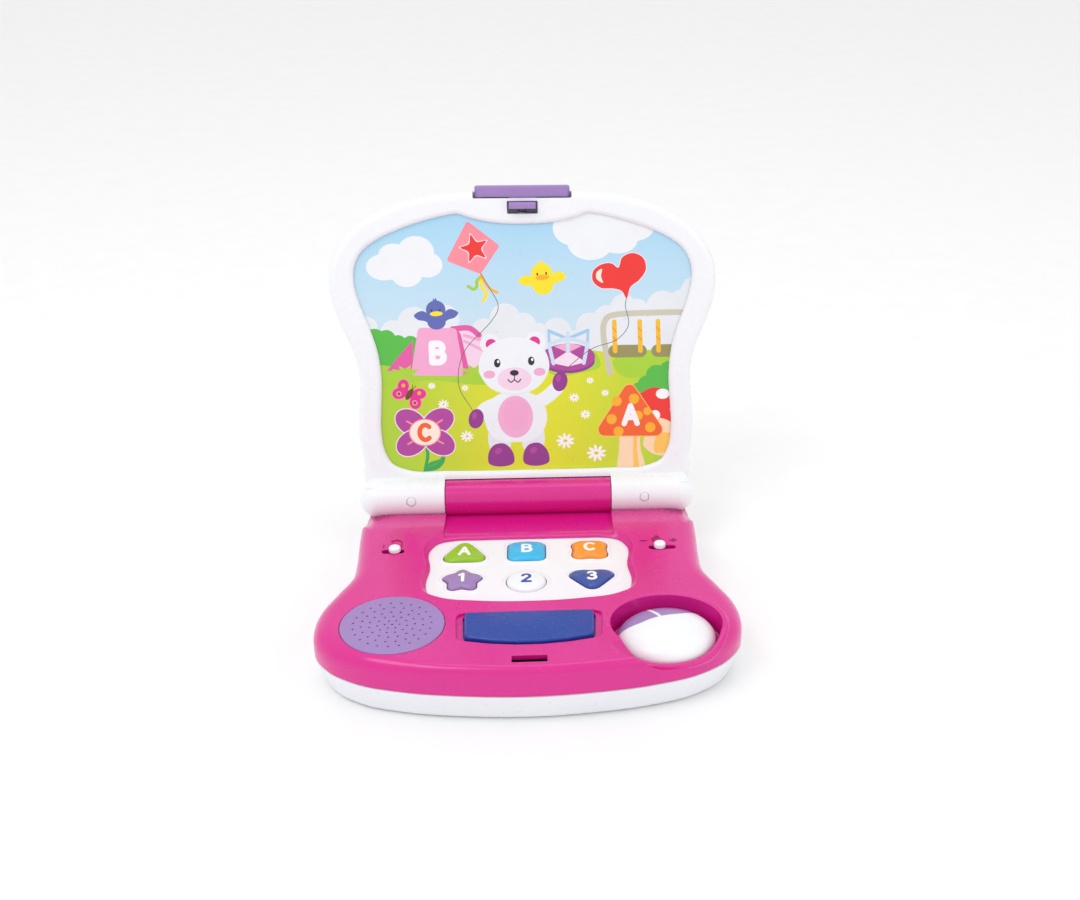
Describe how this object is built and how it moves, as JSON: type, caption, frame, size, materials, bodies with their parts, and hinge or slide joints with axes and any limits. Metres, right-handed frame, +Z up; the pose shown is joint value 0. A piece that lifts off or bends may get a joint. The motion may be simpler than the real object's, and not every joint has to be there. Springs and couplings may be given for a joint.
{
  "type": "toy laptop computer",
  "caption": "Clamshell toy laptop computer with shaped letter and number keys, a wide bar key, a pressable dome mouse in a bay, a speaker, slide switches and a picture lid with a latch.",
  "frame": {"origin": "on the flat underside, midway between the widest sides", "axes": "X to the right, Y to the back where the hinge is, Z up"},
  "size_m": [0.2344, 0.251, 0.2189],
  "materials": {
    "pink_plastic": "glossy moulded",
    "white_plastic": "glossy moulded",
    "picture": "printed picture under a clear film",
    "purple_plastic": "satin moulded",
    "green_plastic": "glossy moulded",
    "light_blue_plastic": "glossy moulded",
    "orange_plastic": "glossy moulded",
    "dark_blue_plastic": "glossy moulded",
    "black_plastic": "matt",
    "steel": "bright",
    "grey_rubber": "matt",
    "board_green": "satin",
    "cell_wrap": "printed",
    "red_insulation": "satin",
    "paper_cone": "matt"
  },
  "bodies": {
    "base": {"base_bottom_shell": "white_plastic", "base_top_shell": "pink_plastic", "battery_door": "white_plastic", "keypad_panel": "white_plastic", "speaker_grille": "purple_plastic", "speaker_frame": "steel", "speaker_cone": "paper_cone", "speaker_magnet": "black_plastic", "circuit_board": "board_green", "sound_chip": "black_plastic", "key_dome_mat": "grey_rubber", "bar_dome_mat": "grey_rubber", "speaker_lead": "red_insulation", "battery_lead": "black_plastic", "power_switch": "black_plastic", "volume_switch": "black_plastic", "mouse_switch": "black_plastic", "mouse_spring": "steel", "hinge_pin_left": "steel", "hinge_pin_right": "steel", "battery_door_screw": "steel", "battery_contact_left": "steel", "battery_contact_right": "steel", "battery_1": "cell_wrap", "battery_spring_1": "steel", "battery_2": "cell_wrap", "battery_spring_2": "steel", "battery_3": "cell_wrap", "battery_spring_3": "steel", "base_screw_1": "steel", "base_screw_2": "steel", "base_screw_3": "steel", "base_screw_4": "steel", "base_screw_5": "steel", "base_screw_6": "steel"},
    "lid": {"lid_front_bezel": "white_plastic", "lid_rear_shell": "white_plastic", "picture_panel": "picture", "latch_spring": "steel", "hinge_cap_left": "white_plastic", "hinge_cap_right": "white_plastic", "lid_screw_1": "steel", "lid_screw_2": "steel", "lid_screw_3": "steel", "lid_screw_4": "steel"},
    "key_a_body": {"key_a": "green_plastic"},
    "key_b_body": {"key_b": "light_blue_plastic"},
    "key_c_body": {"key_c": "orange_plastic"},
    "key_1_body": {"key_1": "purple_plastic"},
    "key_2_body": {"key_2": "white_plastic"},
    "key_3_body": {"key_3": "dark_blue_plastic"},
    "bar": {"bar_button": "dark_blue_plastic"},
    "mouse_body": {"mouse": "white_plastic"},
    "power": {"power_knob": "white_plastic"},
    "volume": {"volume_knob": "white_plastic"},
    "latch_body": {"latch": "purple_plastic"}
  },
  "joints": [
    {"name": "lid_hinge", "type": "hinge", "parent": "base", "child": "lid", "pos_m": [0, 0.086, 0.036], "axis": [1, 0, 0], "range_deg": [0, 105]},
    {"name": "key_a_press", "type": "slide", "parent": "base", "child": "key_a_body", "axis": [0, 0, -1], "range_m": [0, 0.0015], "stiffness_N_per_m": 300, "springref_m": -0.002},
    {"name": "key_b_press", "type": "slide", "parent": "base", "child": "key_b_body", "axis": [0, 0, -1], "range_m": [0, 0.0015], "stiffness_N_per_m": 300, "springref_m": -0.002},
    {"name": "key_c_press", "type": "slide", "parent": "base", "child": "key_c_body", "axis": [0, 0, -1], "range_m": [0, 0.0015], "stiffness_N_per_m": 300, "springref_m": -0.002},
    {"name": "key_1_press", "type": "slide", "parent": "base", "child": "key_1_body", "axis": [0, 0, -1], "range_m": [0, 0.0015], "stiffness_N_per_m": 300, "springref_m": -0.002},
    {"name": "key_2_press", "type": "slide", "parent": "base", "child": "key_2_body", "axis": [0, 0, -1], "range_m": [0, 0.0015], "stiffness_N_per_m": 300, "springref_m": -0.002},
    {"name": "key_3_press", "type": "slide", "parent": "base", "child": "key_3_body", "axis": [0, 0, -1], "range_m": [0, 0.0015], "stiffness_N_per_m": 300, "springref_m": -0.002},
    {"name": "bar_press", "type": "slide", "parent": "base", "child": "bar", "axis": [0, 0, -1], "range_m": [0, 0.0015], "stiffness_N_per_m": 500, "springref_m": -0.002},
    {"name": "mouse_press", "type": "slide", "parent": "base", "child": "mouse_body", "axis": [0, 0, -1], "range_m": [0, 0.0016], "stiffness_N_per_m": 400, "springref_m": -0.002, "deforming": ["mouse_spring"]},
    {"name": "power_slide", "type": "slide", "parent": "base", "child": "power", "axis": [1, 0, 0], "range_m": [-0.005, 0.003]},
    {"name": "volume_slide", "type": "slide", "parent": "base", "child": "volume", "axis": [1, 0, 0], "range_m": [-0.0041, 0.0069]},
    {"name": "latch_slide", "type": "slide", "parent": "lid", "child": "latch_body", "axis": [0, -0.2588, -0.9659], "range_m": [0, 0.0025], "stiffness_N_per_m": 500, "springref_m": -0.003, "deforming": ["latch_spring"]}
  ]
}
